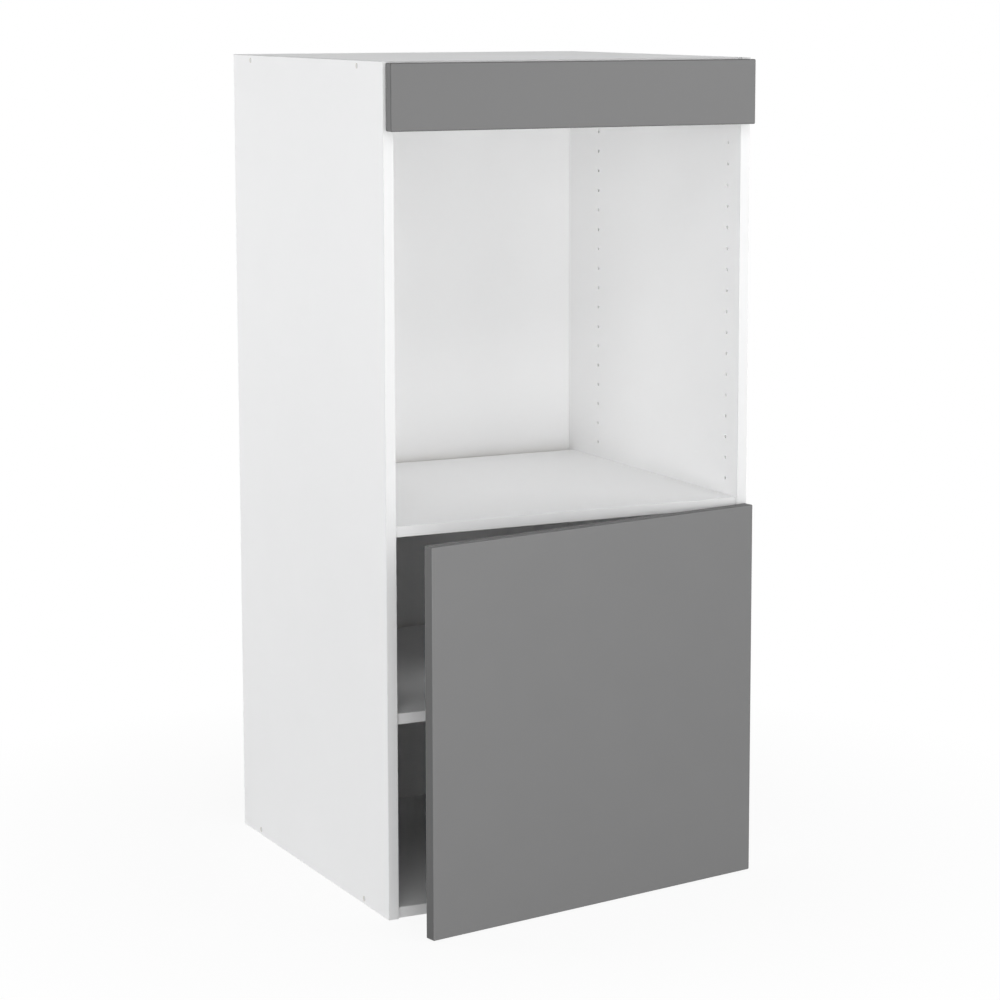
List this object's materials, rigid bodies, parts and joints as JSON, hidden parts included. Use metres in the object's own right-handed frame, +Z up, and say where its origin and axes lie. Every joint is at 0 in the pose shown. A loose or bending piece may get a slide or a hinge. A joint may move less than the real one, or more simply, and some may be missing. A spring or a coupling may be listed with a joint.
{
  "type": "oven housing unit",
  "caption": "Tall kitchen carcass with an open niche for a built-in oven, a grey filler panel above it, and a grey cupboard door below on concealed hinges, standing ajar.",
  "frame": {"origin": "centre of the carcass's underside", "axes": "+Z up, -Y out of the oven niche towards the room, +X to the right seen from the room"},
  "size_m": [0.6, 0.703, 1.248],
  "materials": {
    "white_melamine": "white melamine face on chipboard, faint satin",
    "white_hardboard": "white lacquered hardboard",
    "grey_lacquer": "grey matt lacquer on fibreboard",
    "zinc_steel": "zinc plated",
    "nickel_steel": "nickel plated",
    "clear_rubber": "clear soft buffer"
  },
  "bodies": {
    "carcass": {"left_side_panel": "white_melamine", "right_side_panel": "white_melamine", "top_panel": "white_melamine", "bottom_panel": "white_melamine", "oven_shelf": "white_melamine", "lower_shelf": "white_melamine", "back_panel": "white_hardboard", "top_fascia": "grey_lacquer", "fascia_bracket_left": "zinc_steel", "fascia_bracket_right": "zinc_steel", "bracket_screw_left_carcass": "zinc_steel", "bracket_screw_left_fascia": "zinc_steel", "bracket_screw_right_carcass": "zinc_steel", "bracket_screw_right_fascia": "zinc_steel", "carcass_screw_left_bottom_front": "zinc_steel", "carcass_screw_left_bottom_rear": "zinc_steel", "carcass_screw_left_top_front": "zinc_steel", "carcass_screw_left_top_rear": "zinc_steel", "carcass_screw_right_bottom_front": "zinc_steel", "carcass_screw_right_bottom_rear": "zinc_steel", "carcass_screw_right_top_front": "zinc_steel", "carcass_screw_right_top_rear": "zinc_steel", "shelf_cam_left_front": "zinc_steel", "shelf_cam_left_rear": "zinc_steel", "shelf_cam_right_front": "zinc_steel", "shelf_cam_right_rear": "zinc_steel", "shelf_cam_bolt_left_front": "zinc_steel", "shelf_cam_bolt_left_rear": "zinc_steel", "shelf_cam_bolt_right_front": "zinc_steel", "shelf_cam_bolt_right_rear": "zinc_steel", "shelf_pin_left_front": "nickel_steel", "shelf_pin_left_rear": "nickel_steel", "shelf_pin_right_front": "nickel_steel", "shelf_pin_right_rear": "nickel_steel", "hinge_plate_lower": "zinc_steel", "hinge_plate_upper": "zinc_steel", "hinge_plate_screw_lower_below": "zinc_steel", "hinge_plate_screw_lower_above": "zinc_steel", "hinge_plate_screw_upper_below": "zinc_steel", "hinge_plate_screw_upper_above": "zinc_steel", "hinge_arm_lower": "nickel_steel", "hinge_arm_upper": "nickel_steel", "hinge_arm_pin_lower": "nickel_steel", "hinge_arm_pin_upper": "nickel_steel", "hinge_adjusting_screw_lower": "zinc_steel", "hinge_clamping_screw_lower": "zinc_steel", "hinge_adjusting_screw_upper": "zinc_steel", "hinge_clamping_screw_upper": "zinc_steel"},
    "hinge_links": {"hinge_link_lower": "nickel_steel", "hinge_link_upper": "nickel_steel"},
    "door": {"door_panel": "grey_lacquer", "hinge_cup_lower": "nickel_steel", "hinge_cup_upper": "nickel_steel", "hinge_cup_screw_lower_below": "zinc_steel", "hinge_cup_screw_lower_above": "zinc_steel", "hinge_cup_screw_upper_below": "zinc_steel", "hinge_cup_screw_upper_above": "zinc_steel", "door_buffer_lower": "clear_rubber", "door_buffer_upper": "clear_rubber"}
  },
  "joints": [
    {"name": "hinge_link_swing", "type": "hinge", "parent": "carcass", "child": "hinge_links", "pos_m": [0.265, -0.291, 0.288], "axis": [0, 0, 1], "range_deg": [-23.8, 2.8]},
    {"name": "door_swing", "type": "hinge", "parent": "hinge_links", "child": "door", "pos_m": [0.28767, -0.29832, 0.288], "axis": [0, 0, 1], "range_deg": [-12.8, 108.8]}
  ],
  "couplings": [
    {"joint": "hinge_link_swing", "follows": "door_swing", "ratio": -0.21875}
  ]
}
